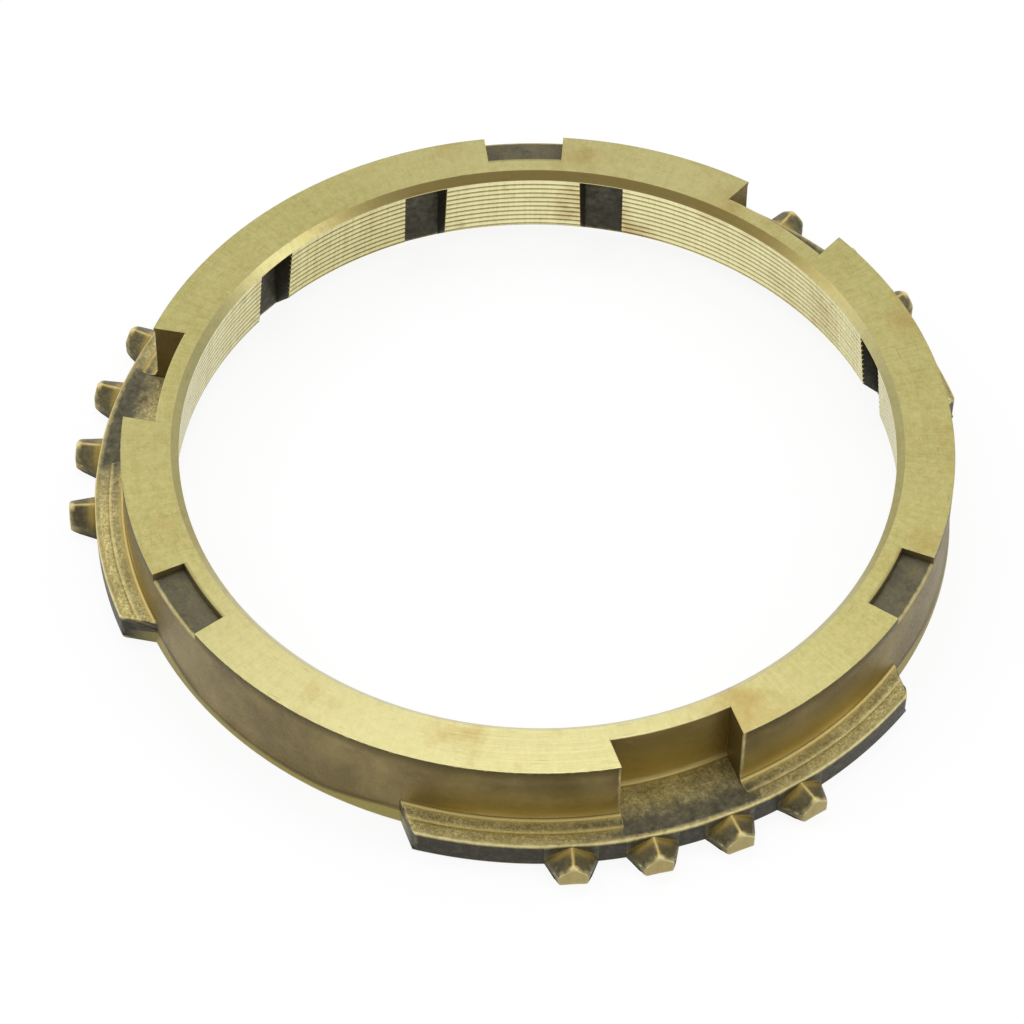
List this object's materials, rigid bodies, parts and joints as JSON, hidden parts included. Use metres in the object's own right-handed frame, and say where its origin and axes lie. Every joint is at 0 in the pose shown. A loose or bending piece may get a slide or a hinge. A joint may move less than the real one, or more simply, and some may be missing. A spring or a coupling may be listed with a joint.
{
  "type": "synchronizer ring",
  "caption": "Flat brass gearbox ring with a conical friction bore, oil slots, key slots and rows of roof-shaped coupling teeth round its rim.",
  "frame": {"origin": "on the ring's axis, in the plane of the flat gear-side face that it lies on", "axes": "+Z along the ring's axis towards the machined hub face, +X through the middle of one key slot"},
  "size_m": [0.088, 0.0908, 0.0104],
  "materials": {
    "brass": "turned hub face, bore and tooth tips; as-forged sides, segments and slots"
  },
  "bodies": {
    "root": {"synchro_ring": "brass"}
  },
  "joints": []
}
